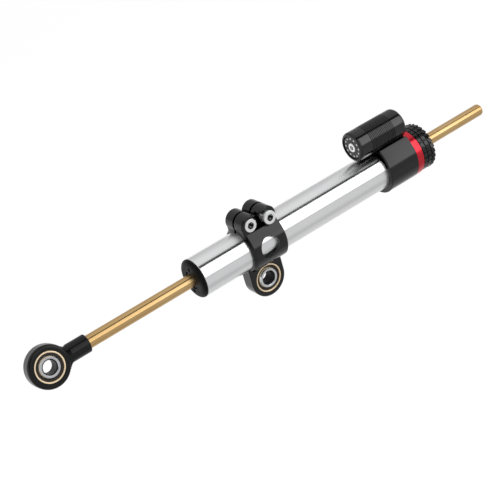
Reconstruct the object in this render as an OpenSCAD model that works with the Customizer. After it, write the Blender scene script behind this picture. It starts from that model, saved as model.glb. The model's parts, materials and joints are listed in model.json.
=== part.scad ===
// Motorcycle steering damper: a through-rod hydraulic damper with a rod end,
// a split clamp with its own bearing eye, a click adjuster and a piggyback reservoir.
// Millimetres. The origin is the centre of the clamp's bearing eye, +X runs along
// the damper towards the adjuster knob, +Y along the bolt of the clamp's eye, +Z up.

/* [Tube] */
// Outside diameter of the tube
tube_d = 25; // [23:0.1:30]
// Wall of the tube
tube_wall = 2.5; // [1.5:0.1:3]
// Length of tube between the front gland and the rear head
tube_show = 142.5; // [110:0.1:180]
// Length of tube inside the rear head
tube_seat = 14; // [10:0.5:15]
// Distance from the frame eye forward to the end of the tube
clamp_back = 44.5; // [20:0.1:60]

/* [Rod] */
// Diameter of the rod
rod_d = 8; // [7:0.1:9]
// Length of rod between the rod end and the gland, at rest
rod_show = 72.7; // [60:0.1:100]
// Length of rod behind the knob, at rest
rod_tail = 55.6; // [30:0.1:90]
// Length of rod screwed into the rod end
rod_thread = 11; // [8:0.5:11]
// Rounding of the rod's free tip
tip_round = 1; // [0.4:0.1:2]

/* [Piston] */
// Length of the piston
piston_len = 14; // [12:0.5:18]
// Travel of the piston from rest to the front gland
stroke_out = 25; // [15:1:40]
// Width of the piston ring
piston_ring_w = 7; // [4:0.5:8]
// Radial thickness of the piston ring
piston_ring_t = 1.5; // [1:0.1:1.8]
// Thickness of a piston circlip
clip_t = 1; // [0.8:0.1:1.2]
// How far a circlip stands out of the rod
clip_rise = 1.5; // [1:0.1:1.8]
// Depth of a circlip groove in the rod
clip_sink = 0.5; // [0.3:0.1:0.8]

/* [Front gland] */
// Length of the cone in front of the tube
gland_nose = 2.7; // [1.5:0.1:4]
// Radial width of the gland's domed rim
gland_dome = 3.6; // [2:0.1:4]
// Depth of the gland inside the tube
gland_depth = 22; // [20:0.5:30]
// Diameter of a pin spanner hole
spanner_d = 2.2; // [1.5:0.1:2.6]
// Distance of a pin spanner hole from the rod axis
spanner_r = 7.4; // [7.2:0.1:7.8]
// Depth of a pin spanner hole
spanner_depth = 2.2; // [1:0.1:3]
// Turn of the pin spanner holes about the rod, in degrees
spanner_turn = 96; // [0:1:180]
// Length of the wiper
wiper_len = 4; // [3:0.1:5]
// Length of a rod bush
bush_len = 10; // [8:0.5:11]
// Wall of a rod bush
bush_wall = 1; // [0.8:0.1:1.3]
// Length of a rod seal
seal_len = 3; // [2:0.1:3.4]
// Wall of a rod seal
seal_wall = 1.6; // [1.2:0.1:1.7]

/* [Rear head] */
// Wall of the head around the tube
head_wall = 3.1; // [2:0.1:5]
// Length of the head
head_len = 23; // [21:0.1:30]
// Length of the rod guide in front of the head's shoulder
guide_len = 27.6; // [22:0.1:40]
// Diameter of an oil port in the rod guide
guide_port_d = 2; // [1:0.1:2.4]
// Depth of the oil gallery behind the rod guide
gallery_depth = 1.8; // [1.6:0.1:2.2]
// Diameter of the drilling that feeds the reservoir
feed_d = 2.5; // [1.5:0.1:2.6]
// Distance from the head's shoulder back to that drilling
feed_back = 3.8; // [3.6:0.1:4.4]

/* [Adjuster] */
// Length of the coloured index ring
ring_len = 5.2; // [4:0.1:8]
// How far the index ring stays inside the head's outline
ring_step = 0.15; // [0.1:0.05:1]
// Length of the knob
knob_len = 10; // [8.6:0.1:14]
// How far the knob stays inside the head's outline
knob_step = 0.6; // [0.3:0.1:1.5]
// Thickness of the knob's end wall
knob_back = 3.9; // [3.2:0.1:4.4]
// Number of axial grooves in the knob's grip
knurl_n = 28; // [24:1:40]
// Number of grooves round the knob's grip
knurl_rows = 2; // [2:1:4]
// Width of a grip groove
knurl_w = 1; // [0.5:0.1:1.2]
// Depth of a grip groove
knurl_depth = 0.8; // [0.3:0.1:1]
// Wall of the metering sleeve
sleeve_wall = 2.1; // [1.9:0.1:2.4]
// Width of the metering slot
slot_w = 2.4; // [1:0.1:3]
// Wall of the head's neck round the sleeve
neck_wall = 2; // [1.5:0.1:2.2]
// Diameter of the knob's grub screw
grub_d = 2.5; // [2:0.1:3]
// How deep the grub screw lies under the grip
grub_sink = 1.6; // [1:0.1:2]
// Diameter of the detent ball
detent_d = 3; // [2.5:0.1:3.2]
// How far the detent ball stands out of the index ring
detent_rise = 0.5; // [0.4:0.1:0.7]
// Depth of the detent ball's track in the knob
track_depth = 0.8; // [0.6:0.1:1.2]
// Number of click dimples in the track
click_n = 24; // [12:1:28]
// Depth of the detent hole in the head
detent_depth = 4; // [3:0.1:5]
// Wire diameter of the detent spring
spring_wire = 0.4; // [0.3:0.05:0.5]
// Number of turns of the detent spring
spring_turns = 6; // [4:1:7]

/* [Reservoir] */
// Diameter of the reservoir
res_d = 19.6; // [17:0.1:22]
// Length of the reservoir
res_len = 38.2; // [37.6:0.1:41]
// Wall of the reservoir
res_wall = 2; // [1.5:0.1:2.4]
// How far the reservoir reaches in front of the head
res_lead = 14; // [13.6:0.1:16]
// Gap between the reservoir and the tube's outline
res_gap = 0.7; // [0.6:0.05:1.2]
// Rounding of the reservoir's front edge
res_front_round = 1.8; // [0.5:0.1:1.9]
// Rounding of the reservoir's rear edge
res_rear_round = 2.4; // [1:0.1:3]
// Thickness of the reservoir's rear wall
res_end = 3; // [2.5:0.1:4]
// Number of fine grooves round the reservoir
groove_n = 17; // [8:1:20]
// Distance from one groove to the next
groove_pitch = 1.15; // [1:0.05:1.3]
// Depth of a groove
groove_depth = 0.3; // [0.1:0.05:0.5]
// Distance from the reservoir's front to its first groove
groove_start = 9.5; // [6:0.1:14]
// Thickness of the end cap
cap_t = 5; // [4:0.1:6]
// How deep the end cap lies in the reservoir
cap_sink = 0.6; // [0.2:0.1:1]
// Length of the floating piston
float_len = 7; // [5:0.1:8]
// Distance from the reservoir's front to the floating piston, at rest
float_place = 19; // [16:0.5:20]
// Outside diameter of the oil transfer bush
transfer_d = 5; // [4.5:0.1:6]
// How deep the oil transfer bush goes into the head
transfer_sink = 3.2; // [2:0.1:4]
// Head diameter of the fill screw
fill_head_d = 6; // [4:0.1:6.4]
// Shank diameter of the fill screw
fill_d = 3; // [2.5:0.1:3.4]
// Height of the fill screw's head
fill_head_t = 1.8; // [1.4:0.1:2.4]

/* [O-rings] */
// Depth of an o-ring groove
oring_depth = 1.3; // [1:0.1:1.4]
// Width of an o-ring groove
oring_w = 1.8; // [1.5:0.1:2]

/* [Bearings] */
// Bore of the bearing balls
bolt_d = 8; // [6:0.1:9]
// Diameter of the bearing balls
ball_d = 15.2; // [14.6:0.1:15.4]
// Width of the bearing balls
ball_w = 9.6; // [8.6:0.1:10.2]
// Chamfer of the ball's bore
ball_chamfer = 0.8; // [0.3:0.1:1]
// Bore of the races
race_bore = 16.2; // [16:0.1:16.8]
// Radial thickness of the races
race_rim = 1.1; // [1:0.05:1.6]
// Width of the races
race_w = 9.2; // [8.2:0.1:9.4]
// Width of the liner between race and ball
liner_w = 7.2; // [5:0.1:7.4]

/* [Rod end] */
// Distance from the rod eye to the end of the shank
shank_len = 26; // [25:0.5:35]
// Wall of the shank round the rod
shank_wall = 1.5; // [1.2:0.1:1.6]
// Radius of the blend from the eye to the shank
neck_blend = 8; // [5:0.5:9]
// Thickness of the rod end's eye
rod_eye_t = 9.4; // [9:0.1:12]
// Wall of the rod end's eye round the race
rod_eye_wall = 3.35; // [2.4:0.05:4]
// Rounding of the rod end's eye, across its face
rod_eye_round = 1.6; // [0.8:0.1:2]
// Rounding of the rod end's eye, along its bore
rod_eye_shoulder = 2; // [1:0.1:3]
// Turn of the rod end about the rod, in degrees
rod_end_turn = -15.6; // [-90:0.1:90]

/* [Clamp] */
// Wall of the clamp round the tube
clamp_wall = 2.5; // [2:0.1:4]
// Width of the clamp
clamp_w = 25.2; // [25:0.1:28]
// How far the middle of the clamp's ring lies behind its eye
ring_shift = 1.4; // [0:0.1:3]
// Bevel of the ring's front rim, along the damper
rim_bevel = 1.8; // [0.5:0.1:2.5]
// Bevel of the ring's front rim, across the damper
rim_drop = 1.4; // [0.4:0.1:1.6]
// Metal between the tube and the race in the lug
lug_web = 1.75; // [1:0.05:4]
// Wall of the lug round the race
lug_wall = 2.75; // [1.8:0.05:3.8]
// Thickness of the lug
lug_t = 9.6; // [9.4:0.1:14]
// Distance between the clamp screws
screw_gap = 12.2; // [11.4:0.1:12.4]
// Height of the clamp screws above the clamp's ring
screw_rise = 2; // [1.5:0.1:5]
// How far the split lies in front of the damper's axis
split_lead = 0.6; // [0:0.1:2]
// Width of the split
split_w = 1.8; // [1:0.1:2]
// Distance from the split forward to the front of the ears
ear_front = 9; // [8.6:0.1:9.6]
// Distance from the split back to the rear of the ears
ear_back = 8.8; // [6:0.1:9]
// Slope of the flat that joins the ring to the ears, in degrees
flat_slope = 32; // [28:1:36]
// Radius of the hollow blend behind the ears
ear_blend = 2; // [1:0.1:3]
// Diameter of the window over the tube
window_d = 13.4; // [8:0.1:14]
// Height of the window's centre over the damper's axis
window_rise = 0.6; // [0:0.1:3]
// Diameter of a clamp screw
screw_d = 5; // [4:0.1:5.4]
// Head diameter of a clamp screw
screw_head_d = 8.4; // [7.4:0.1:8.8]
// Head height of a clamp screw
screw_head_t = 5; // [4:0.1:5.4]
// How far the second clamp screw is backed out
screw_out = 3.2; // [0:0.1:4]
// Chamfer of the clamp's edges
clamp_chamfer = 0.7; // [0.3:0.1:1]

/* [Hidden] */
$fn = 96;

// Clearances: parts that stay together, parts that slide or turn, parts that pass free
seat = 0.05;
run = 0.05;
free = 0.3;
// Overlap of a cutting shape with the face that it cuts through
over = 1;
edge = 0.4;
// Gap that an o-ring leaves to its groove and wall
oring_play = 0.02;
// Room that the piston keeps to the gland and the guide at the ends of its stroke
stop_gap = 0.5;
// Steps between neighbouring bores and shoulders
gallery_step = 1;
sleeve_gap = 1;

// Colours
black_c = [0.10, 0.10, 0.11];
alu_c = [0.82, 0.83, 0.84];
steel_c = [0.72, 0.73, 0.75];
gold_c = [0.83, 0.66, 0.33];
bronze_c = [0.76, 0.56, 0.32];
rubber_c = [0.06, 0.06, 0.06];
red_c = [0.78, 0.08, 0.16];
ptfe_c = [0.86, 0.84, 0.78];
liner_c = [0.20, 0.12, 0.08];

// Radii about the damper axis
tube_r = tube_d / 2;
tube_ir = tube_r - tube_wall;
rod_r = rod_d / 2;
bush_r = rod_r + run + bush_wall;
seal_r = rod_r + run + seal_wall;
head_r = tube_r + head_wall;
ring_r = head_r - ring_step;
knob_r = head_r - knob_step;
gallery_r = tube_ir - gallery_step;
sleeve_ir = rod_r + sleeve_gap;
sleeve_r = sleeve_ir + sleeve_wall;
neck_bore_r = sleeve_r + run;
neck_r = neck_bore_r + neck_wall;
detent_r = (neck_r + ring_r) / 2;
res_r = res_d / 2;
res_ir = res_r - res_wall;
cap_r = res_ir - seat;
clamp_r = tube_r + clamp_wall;

// The bearings
bolt_r = bolt_d / 2;
ball_r = ball_d / 2;
cup_r = ball_r + run;
race_ir = race_bore / 2;
race_r = race_ir + race_rim;
race_bevel = 0.25;
liner_r = race_ir - seat;
rod_eye_r = race_r + seat + rod_eye_wall;
lug_r = race_r + seat + lug_wall;
shank_r = rod_r + seat + shank_wall;

// Heights of the damper axis, of the reservoir over it and of the screws over it
axis_z = race_r + seat + lug_web + tube_r;
res_z = tube_r + res_gap + res_r;
screw_z = clamp_r + screw_rise;

// Stations along the damper
tube_x0 = -clamp_back;
gland_x0 = tube_x0 - gland_nose;
gland_x1 = tube_x0 + gland_depth;
head_x0 = tube_x0 + tube_show;
tube_x1 = head_x0 + tube_seat;
head_x1 = head_x0 + head_len;
ring_x1 = head_x1 + ring_len;
knob_x0 = ring_x1 + free;
knob_x1 = knob_x0 + knob_len;
neck_x1 = knob_x1 - knob_back - free;
guide_x0 = tube_x1 - guide_len;
gallery_x1 = tube_x1 + gallery_depth;
feed_x = tube_x1 + feed_back;
piston_x0 = gland_x1 + stop_gap + stroke_out;
piston_x1 = piston_x0 + piston_len;
stroke_in = guide_x0 - stop_gap - piston_x1;
eye_x = gland_x0 - rod_show - shank_len;
rod_x0 = eye_x + shank_len - rod_thread;
rod_x1 = knob_x1 + rod_tail;
res_x0 = head_x0 - res_lead;
res_x1 = res_x0 + res_len;
cap_x0 = res_x0 + cap_sink;
cap_x1 = cap_x0 + cap_t;
float_x0 = res_x0 + float_place;
float_x1 = float_x0 + float_len;
res_bore_x1 = res_x1 - res_end;

// The clamp's places along X and faces along Y
clamp_x0 = ring_shift - clamp_w / 2;
clamp_x1 = ring_shift + clamp_w / 2;
screw_xs = [ring_shift - screw_gap / 2, ring_shift + screw_gap / 2];
ear_r = (clamp_w - screw_gap) / 2;
split_y = -split_lead;
ear_front_y = split_y - ear_front;
ear_back_y = split_y + ear_back;
head_sink = 0.2;
screw_seat_y = ear_front_y + screw_head_t + head_sink;
screw_short = 1;
screw_tip_y = ear_back_y - screw_short;

echo(axis_z = axis_z, eye_x = eye_x, rod_x1 = rod_x1, res_z = res_z);
echo(stroke_in = stroke_in, float_in = float_x0 - cap_x1, float_out = res_bore_x1 - float_x1);
echo(slide_back = res_x0 - clamp_x1, slide_front = clamp_back + clamp_x0);

// Points of an oval and of a round arc about a centre
function oval(cx, cy, rx, ry, a0, a1, n = 6) =
    [for (i = [0:n]) [cx + rx * cos(a0 + (a1 - a0) * i / n), cy + ry * sin(a0 + (a1 - a0) * i / n)]];
function arc(cx, cy, r, a0, a1, n = 6) = oval(cx, cy, r, r, a0, a1, n);

// A turned shape about the damper axis, from points of station and radius
module turned_x(points, z = 0) {
    translate([0, 0, axis_z + z]) rotate([0, 90, 0])
        rotate_extrude() polygon([for (p = points) [p[1], p[0]]]);
}

// Turns a shape that was made along Z so that it runs along Y
module along_y() {
    rotate([-90, 0, 0]) children();
}

// A turned shape about Z, from points of height and radius
module turned_z(points) {
    rotate_extrude() polygon([for (p = points) [p[1], p[0]]]);
}

// A turned shape about Y, from points of depth and radius
module turned_y(points) {
    along_y() turned_z(points);
}

// A plain ring about the damper axis
module ring_x(x0, x1, r0, r1, z = 0) {
    turned_x([[x0, r0], [x0, r1], [x1, r1], [x1, r0]], z);
}

// A plain rod along X
module bar_x(x0, x1, r, z = 0) {
    translate([x0, 0, axis_z + z]) rotate([0, 90, 0]) cylinder(r = r, h = x1 - x0);
}

// A plain rod along Y
module bar_y(y0, y1, r) {
    translate([0, y0, 0]) rotate([-90, 0, 0]) cylinder(r = r, h = y1 - y0);
}

// A groove for an o-ring in the outside of a plug
module oring_groove(x, r, z = 0) {
    ring_x(x - oring_w / 2, x + oring_w / 2, r - oring_depth, r + over, z);
}

// The o-ring that fills such a groove up to the wall around it
module oring(x, r, wall_r, z = 0) {
    floor_r = r - oring_depth + oring_play;
    section_r = (wall_r - oring_play - floor_r) / 2;
    translate([x, 0, axis_z + z]) rotate([0, 90, 0])
        rotate_extrude() translate([floor_r + section_r, 0]) circle(r = section_r, $fn = 32);
}

// A hexagonal socket along +Z
module hex_socket(across, depth) {
    cylinder(d = across / cos(30), h = depth, $fn = 6);
}

module at_rod_eye() {
    translate([eye_x, 0, axis_z]) rotate([rod_end_turn, 0, 0]) children();
}

// Bearing race: a plain ring with broken edges
module race() {
    h = race_w / 2;
    b = race_bevel;
    along_y() turned_z([[-h, race_ir + b], [-h, race_r - b], [b - h, race_r], [h - b, race_r], [h, race_r - b],
        [h, race_ir + b], [h - b, race_ir], [b - h, race_ir]]);
}

// Bearing liner: it fills the race round the ball
module liner() {
    along_y() difference() {
        translate([0, 0, -liner_w / 2]) cylinder(r = liner_r, h = liner_w);
        sphere(r = cup_r);
    }
}

// Bearing ball with two flats and a bore
module ball() {
    h = ball_w / 2;
    c = ball_chamfer;
    along_y() intersection() {
        sphere(r = ball_r);
        turned_z([[-h, bolt_r + c], [-h, ball_r + over], [h, ball_r + over], [h, bolt_r + c],
            [h - c, bolt_r], [c - h, bolt_r]]);
    }
}

module cylinder_tube() {
    color(alu_c)
        turned_x([[tube_x0, tube_ir], [tube_x0, tube_r - edge], [tube_x0 + edge, tube_r],
            [tube_x1 - seat, tube_r], [tube_x1 - seat, tube_ir]]);
}

gland_r = tube_ir - seat;
gland_oring_x = tube_x0 + gland_depth / 3;
wiper_r = seal_r;
wiper_x1 = gland_x0 + wiper_len;
seal_wall_x = 1.5;
bush_wall_x = 1.2;
front_seal_x0 = gland_x1 - seal_wall_x - seal_len;
front_bush_x1 = front_seal_x0 - bush_wall_x;
front_bush_x0 = front_bush_x1 - bush_len;
nose_step = 0.1;
nose_r = tube_r - nose_step;
nose_rim = 0.3;

module front_gland() {
    color(black_c) difference() {
        turned_x([
            [gland_x0, rod_r + free],
            each oval(tube_x0 - nose_rim, nose_r - gland_dome, gland_nose - nose_rim, gland_dome, 180, 90),
            [tube_x0 - seat, nose_r],
            [tube_x0 - seat, gland_r],
            [gland_x1, gland_r],
            [gland_x1, rod_r + free]
        ]);
        oring_groove(gland_oring_x, gland_r);
        ring_x(gland_x0 - over, wiper_x1 + seat, rod_r, wiper_r + seat);
        ring_x(front_bush_x0 - seat, front_bush_x1 + seat, rod_r, bush_r + seat);
        ring_x(front_seal_x0 - seat, front_seal_x0 + seal_len + seat, rod_r, seal_r + seat);
        for (a = [spanner_turn, spanner_turn + 180])
            translate([gland_x0 - over, spanner_r * cos(a), axis_z + spanner_r * sin(a)])
                rotate([0, 90, 0]) cylinder(d = spanner_d, h = spanner_depth + over, $fn = 32);
    }
}

module front_gland_oring() {
    color(rubber_c) oring(gland_oring_x, gland_r, tube_ir);
}

module front_wiper() {
    lip = 0.5;
    color(rubber_c)
        turned_x([[gland_x0 + free, rod_r + run], [gland_x0 + free, rod_r + run + lip],
            [gland_x0 + free + lip, wiper_r], [wiper_x1, wiper_r], [wiper_x1, rod_r + run]]);
}

module front_rod_bush() {
    color(bronze_c) ring_x(front_bush_x0, front_bush_x1, rod_r + run, bush_r);
}

// A lip seal with a groove in its pressure face
module rod_seal(x0) {
    third = seal_wall / 3;
    r0 = rod_r + run;
    x1 = x0 + seal_len;
    color(rubber_c)
        turned_x([[x0, r0], [x0, seal_r], [x1, seal_r], [x1, r0 + 2 * third],
            [x1 - seal_len / 2, r0 + 1.5 * third], [x1, r0 + third], [x1, r0]]);
}

module front_rod_seal() {
    rod_seal(front_seal_x0);
}

guide_r = tube_ir - seat;
guide_port_r = (bush_r + guide_r - oring_depth) / 2;
guide_oring_x = (guide_x0 + tube_x1) / 2;
guide_lip = 4;
rear_bush_x0 = guide_x0 + guide_lip;

module rear_guide() {
    color(alu_c) difference() {
        ring_x(guide_x0, tube_x1 - seat, rod_r + free, guide_r);
        ring_x(rear_bush_x0 - seat, tube_x1 + over, rod_r, bush_r + seat);
        oring_groove(guide_oring_x, guide_r);
        for (a = [30, 150, 270])
            translate([guide_x0 - over, guide_port_r * cos(a), axis_z + guide_port_r * sin(a)])
                rotate([0, 90, 0]) cylinder(d = guide_port_d, h = guide_len + 2 * over, $fn = 32);
    }
}

module rear_guide_oring() {
    color(rubber_c) oring(guide_oring_x, guide_r, tube_ir);
}

module rear_rod_bush() {
    color(bronze_c) ring_x(rear_bush_x0, rear_bush_x0 + bush_len, rod_r + run, bush_r);
}

transfer_r = transfer_d / 2;
transfer_z0 = res_z - res_r - transfer_sink;
transfer_low = 0.4;
transfer_z1 = res_z - res_ir - transfer_low;
detent_play = 0.1;
detent_hole_r = detent_d / 2 + detent_play;

// The detent hole lies under the rod, on the far side from the reservoir
module at_detent() {
    translate([0, 0, -detent_r]) children();
}

module rear_head() {
    color(black_c) difference() {
        turned_x([
            [head_x0, tube_r - over],
            [head_x0, head_r - edge],
            [head_x0 + edge, head_r],
            [head_x1 - edge / 2, head_r],
            [head_x1, head_r - edge / 2],
            [head_x1, neck_r],
            [neck_x1, neck_r],
            [neck_x1, rod_r],
            [tube_x1, rod_r]
        ]);
        bar_x(head_x0 - over, tube_x1, tube_r + seat);
        bar_x(tube_x1 - over, gallery_x1, gallery_r);
        bar_x(tube_x1, neck_x1 + over, neck_bore_r);
        bar_x(res_x0 - over, res_x1 + over, res_r + seat, res_z);
        translate([feed_x, 0, axis_z]) cylinder(d = feed_d, h = res_z);
        translate([feed_x, 0, axis_z + transfer_z0 - seat]) cylinder(r = transfer_r + seat, h = res_r);
        at_detent() bar_x(head_x1 - detent_depth, head_x1 + over, detent_hole_r);
    }
}

module index_ring() {
    c = 0.3;
    color(red_c) difference() {
        turned_x([[head_x1 + seat, neck_r + seat], [head_x1 + seat, ring_r - c], [head_x1 + seat + c, ring_r],
            [ring_x1 - c, ring_r], [ring_x1, ring_r - c], [ring_x1, neck_r + seat]]);
        at_detent() bar_x(head_x1 - over, ring_x1 + over, detent_hole_r);
    }
}

detent_x = ring_x1 + detent_rise - detent_d / 2;

module detent_ball() {
    color(steel_c) at_detent() translate([detent_x, 0, axis_z]) sphere(d = detent_d);
}

// The detent spring's wire: rings of points along a helix, joined into one tube
spring_play = 0.15;
spring_r = detent_hole_r - spring_play - spring_wire / 2;
spring_x0 = head_x1 - detent_depth + spring_wire / 2 + seat;
spring_x1 = detent_x - sqrt(pow(detent_d / 2 + spring_wire / 2 + oring_play, 2) - pow(spring_r, 2));
spring_rings = 8;
spring_sides = 6;
spring_steps = spring_turns * spring_rings;
spring_pitch = (spring_x1 - spring_x0) / spring_turns;

function spring_at(i) =
    let (a = 360 * i / spring_rings)
    [spring_x0 + spring_pitch * i / spring_rings, spring_r * cos(a), spring_r * sin(a)];
function spring_point(i, j) =
    let (a = 360 * i / spring_rings, b = 360 * j / spring_sides, c = spring_at(i), r = spring_wire / 2)
    [c[0] + r * sin(b), c[1] + r * cos(b) * cos(a), c[2] + r * cos(b) * sin(a)];
spring_gap = min([for (i = [0:spring_steps], k = [spring_rings - 2:spring_rings + 2])
    if (i + k <= spring_steps) norm(spring_at(i + k) - spring_at(i))]) - spring_wire;
echo(detent_spring_gap = spring_gap);

module detent_spring() {
    n = spring_sides;
    points = [for (i = [0:spring_steps], j = [0:n - 1]) spring_point(i, j)];
    side = [for (i = [0:spring_steps - 1], j = [0:n - 1], k = [0, 1])
        let (a = i * n + j, b = i * n + (j + 1) % n)
        k == 0 ? [a, b, b + n] : [a, b + n, a + n]];
    caps = [for (j = [1:n - 2], e = [0, 1])
        let (s = spring_steps * n)
        e == 0 ? [0, j + 1, j] : [s, s + j, s + j + 1]];
    color(steel_c) at_detent() translate([0, 0, axis_z]) polyhedron(points, concat(side, caps));
}

// The reservoir's outline from its front to its rear, with the fine grooves. Its rear clears the index ring.
function res_groove(i) =
    let (x = res_x0 + groove_start + i * groove_pitch, w = groove_pitch / 4)
    [[x - w, res_r], [x - w / 2, res_r - groove_depth], [x + w / 2, res_r - groove_depth], [x + w, res_r]];

module reservoir_body() {
    f = res_front_round;
    b = res_rear_round;
    outline = concat(
        [[res_x0, res_ir]],
        arc(res_x0 + f, res_r - f, f, 180, 90),
        [for (i = [0:groove_n - 1]) each res_groove(i)],
        arc(res_x1 - b, res_r - b, b, 90, 0),
        [[res_x1, 0], [res_bore_x1, 0], [res_bore_x1, res_ir]]
    );
    color(black_c) difference() {
        turned_x(outline, res_z);
        bar_x(head_x1, res_x1 + over, ring_r + free);
        translate([feed_x, 0, axis_z + res_z - res_r - over]) cylinder(r = transfer_r + seat, h = res_r);
    }
}

cap_oring_share = 0.6;
cap_oring_x = cap_x0 + cap_oring_share * cap_t;
fill_r = fill_d / 2;
fill_head_r = fill_head_d / 2;
fill_rise = 0.5;
fill_x0 = cap_x0 - fill_rise;
fill_short = 0.2;
fill_hex = 3;
fill_hex_depth = 1.2;

module reservoir_cap() {
    color(black_c) difference() {
        turned_x([[cap_x0, fill_r + seat], [cap_x0, cap_r - edge], [cap_x0 + edge, cap_r],
            [cap_x1, cap_r], [cap_x1, fill_r + seat]], res_z);
        oring_groove(cap_oring_x, cap_r, res_z);
        ring_x(cap_x0 - over, fill_x0 + fill_head_t + seat, fill_r, fill_head_r + free, res_z);
    }
}

module reservoir_cap_oring() {
    color(rubber_c) oring(cap_oring_x, cap_r, res_ir, res_z);
}

module fill_screw() {
    c = 0.3;
    color(steel_c) difference() {
        turned_x([[fill_x0, 0], [fill_x0, fill_head_r - c], [fill_x0 + c, fill_head_r],
            [fill_x0 + fill_head_t, fill_head_r], [fill_x0 + fill_head_t, fill_r],
            [cap_x1 - fill_short, fill_r], [cap_x1 - fill_short, 0]], res_z);
        translate([fill_x0 - over, 0, axis_z + res_z]) rotate([0, 90, 0]) hex_socket(fill_hex, over + fill_hex_depth);
    }
}

module oil_transfer_bush() {
    color(steel_c) translate([feed_x, 0, axis_z]) difference() {
        translate([0, 0, transfer_z0]) cylinder(r = transfer_r, h = transfer_z1 - transfer_z0);
        cylinder(d = feed_d, h = res_z);
    }
}

float_oring_x = (float_x0 + float_x1) / 2;
float_r = res_ir - run;
float_wall = 1.2;

module floating_piston() {
    hollow_r = float_r - oring_depth - float_wall;
    color(alu_c) difference() {
        bar_x(float_x0, float_x1, float_r, res_z);
        oring_groove(float_oring_x, float_r, res_z);
        bar_x(float_x0 - over, float_x0 + float_len / 2, hollow_r, res_z);
    }
}

module floating_piston_oring() {
    color(rubber_c) oring(float_oring_x, float_r, res_ir, res_z);
}

track_play = 0.4;
track_w = detent_d / 2 + track_play;
grub_x = knob_x1 - knob_back / 2;
grub_hole_r = grub_d / 2 + seat;
grub_hex = 1.3;
grub_hex_depth = 1.4;

click_d = 0.9 * detent_d;

// Everything that is cut from the knob's grip
module knurl_cuts() {
    row_pitch = (knob_len - knurl_w) / (knurl_rows + 1);
    for (i = [1:knurl_rows])
        let (x = knob_x0 + i * row_pitch)
            ring_x(x, x + knurl_w, knob_r - knurl_depth, knob_r + over);
    for (i = [0:knurl_n - 1])
        translate([knob_x0, 0, axis_z]) rotate([360 * i / knurl_n, 0, 0])
            translate([-over, -knurl_w / 2, knob_r - knurl_depth])
                cube([knob_len + 2 * over, knurl_w, knurl_depth + over]);
}

module adjuster_knob() {
    c = 0.5;
    color(black_c) difference() {
        turned_x([[knob_x0, neck_r + run], [knob_x0, knob_r - c], [knob_x0 + c, knob_r],
            [knob_x1 - c, knob_r], [knob_x1, knob_r - c], [knob_x1, sleeve_r + seat],
            [knob_x1 - knob_back, sleeve_r + seat], [knob_x1 - knob_back, neck_r + run]]);
        knurl_cuts();
        ring_x(knob_x0 - over, knob_x0 + track_depth, detent_r - track_w, detent_r + track_w);
        for (i = [0:click_n - 1])
            translate([knob_x0 + track_depth - detent_d / 4, 0, axis_z]) rotate([360 * i / click_n, 0, 0])
                translate([0, 0, -detent_r]) sphere(d = click_d, $fn = 32);
        translate([grub_x, 0, axis_z]) rotate([-90, 0, 0]) cylinder(r = grub_hole_r, h = knob_r + over);
    }
}

module knob_grub_screw() {
    y0 = sleeve_r + seat;
    y1 = knob_r - grub_sink;
    color(steel_c) translate([grub_x, 0, axis_z]) rotate([-90, 0, 0]) difference() {
        translate([0, 0, y0]) cylinder(d = grub_d, h = y1 - y0);
        translate([0, 0, y1 - grub_hex_depth]) hex_socket(grub_hex, over + grub_hex_depth);
    }
}

sleeve_x0 = tube_x1 + free;
sleeve_inset = 0.4;
sleeve_x1 = knob_x1 - sleeve_inset;
flange_x1 = gallery_x1 - free;
rear_seal_inset = 2;
rear_seal_x0 = knob_x1 - rear_seal_inset - seal_len;
sleeve_lip = 1;
sleeve_oring_back = 1.5;
sleeve_oring_xs = [head_x1 - sleeve_oring_back, ring_x1 - sleeve_oring_back];

module metering_sleeve() {
    slot_len = feed_x + slot_w / 2 - sleeve_x0;
    color(steel_c) difference() {
        turned_x([[sleeve_x0, sleeve_ir], [sleeve_x0, gallery_r - free], [flange_x1, gallery_r - free],
            [flange_x1, sleeve_r], [sleeve_x1, sleeve_r], [sleeve_x1, rod_r + free],
            [rear_seal_x0 - sleeve_lip, rod_r + free], [rear_seal_x0 - sleeve_lip, sleeve_ir]]);
        ring_x(rear_seal_x0 - seat, rear_seal_x0 + seal_len + seat, rod_r, seal_r + seat);
        for (x = sleeve_oring_xs)
            oring_groove(x, sleeve_r);
        translate([sleeve_x0 - over, -slot_w / 2, axis_z])
            cube([slot_len + over, slot_w, gallery_r]);
    }
}

module sleeve_orings() {
    color(rubber_c)
        for (x = sleeve_oring_xs)
            oring(x, sleeve_r, neck_bore_r);
}

module rear_rod_seal() {
    rod_seal(rear_seal_x0);
}

clip_inset = 0.4;
clip_xs = [piston_x0 + clip_inset, piston_x1 - clip_inset - clip_t];
clip_r = rod_r + clip_rise;
clip_floor_r = rod_r - clip_sink;

module damper_rod() {
    t = tip_round;
    color(gold_c) difference() {
        turned_x(concat(
            [[rod_x0, 0], [rod_x0, rod_r - edge], [rod_x0 + edge, rod_r]],
            arc(rod_x1 - t, rod_r - t, t, 90, 0),
            [[rod_x1, 0]]
        ));
        for (x = clip_xs)
            ring_x(x - seat, x + clip_t + seat, clip_floor_r - seat, rod_r + over);
    }
}

piston_r = tube_ir - free;
ring_floor_r = tube_ir - run - piston_ring_t - run;
piston_mid = (piston_x0 + piston_x1) / 2;
bleed_d = 1.2;
clip_room = 0.2;
clip_hole_r = clip_r + clip_room;
bleed_r = (clip_hole_r + ring_floor_r) / 2;

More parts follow.
